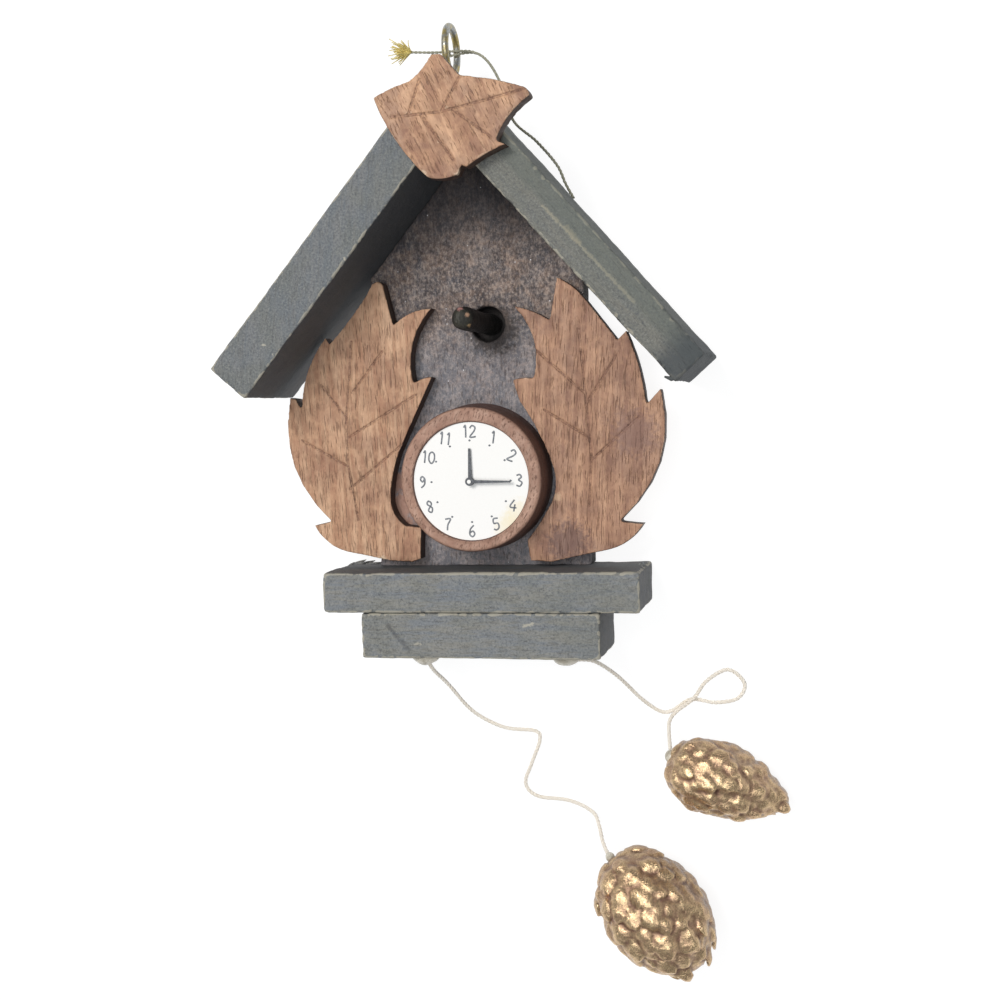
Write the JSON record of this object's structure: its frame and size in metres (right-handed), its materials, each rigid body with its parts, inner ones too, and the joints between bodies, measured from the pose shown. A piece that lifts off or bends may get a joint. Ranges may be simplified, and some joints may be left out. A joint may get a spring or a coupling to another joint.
{
  "type": "wooden cuckoo house clock ornament",
  "caption": "Hanging wooden cuckoo-house clock with gabled roof, cut-out leaves, round paper dial with turning hands, screw eye with thread loop, and cone weights on slack cords.",
  "frame": {"origin": "on the flat back, straight behind the middle of the dial", "axes": "+X to the right of the dial, +Y up the house towards the ridge, +Z out of the dial towards the viewer. The ornament lies on its back, with z = 0 the surface it rests on"},
  "size_m": [0.0998, 0.1706, 0.0267],
  "materials": {
    "stained_panel": "thin charcoal stain, brown grain showing through",
    "slate_paint": "matt grey-blue paint, rubbed at the edges",
    "leaf_wood": "reddish-brown stain, satin",
    "ring_wood": "turned, reddish-brown stain",
    "card": "matt white card, slightly yellowed",
    "hand_ink": "matt dark grey",
    "eye_metal": "dull plated wire",
    "peg_wood": "dark paint, chipped at the end",
    "metallic_thread": "metallic thread",
    "cotton_string": "twisted cotton",
    "gilded_cone": "antique gold paint over brown",
    "hard_glue": "dried clear glue"
  },
  "bodies": {
    "house": {"house_block": "stained_panel", "left_roof_board": "slate_paint", "right_roof_board": "slate_paint", "shelf_board": "slate_paint", "plinth_board": "slate_paint", "left_leaf": "leaf_wood", "right_leaf": "leaf_wood", "ridge_leaf": "leaf_wood", "dial_ring": "ring_wood", "dial_card": "card", "hand_pin": "eye_metal", "door_peg": "peg_wood", "screw_eye": "eye_metal", "hanging_thread": "metallic_thread", "thread_knot": "metallic_thread", "thread_fray": "metallic_thread", "left_cord": "cotton_string", "left_cord_glue": "hard_glue", "left_cone": "gilded_cone", "left_cone_glue": "hard_glue", "right_cord": "cotton_string", "right_cord_glue": "hard_glue", "right_cone": "gilded_cone", "right_cone_glue": "hard_glue"},
    "hour": {"hour_hand": "hand_ink"},
    "minute": {"minute_hand": "hand_ink"}
  },
  "joints": [
    {"name": "hour_hand_turn", "type": "hinge", "parent": "house", "child": "hour", "pos_m": [0, 0, 0.0137], "axis": [0, 0, 1], "continuous": true},
    {"name": "minute_hand_turn", "type": "hinge", "parent": "house", "child": "minute", "pos_m": [0, 0, 0.0137], "axis": [0, 0, 1], "continuous": true}
  ]
}
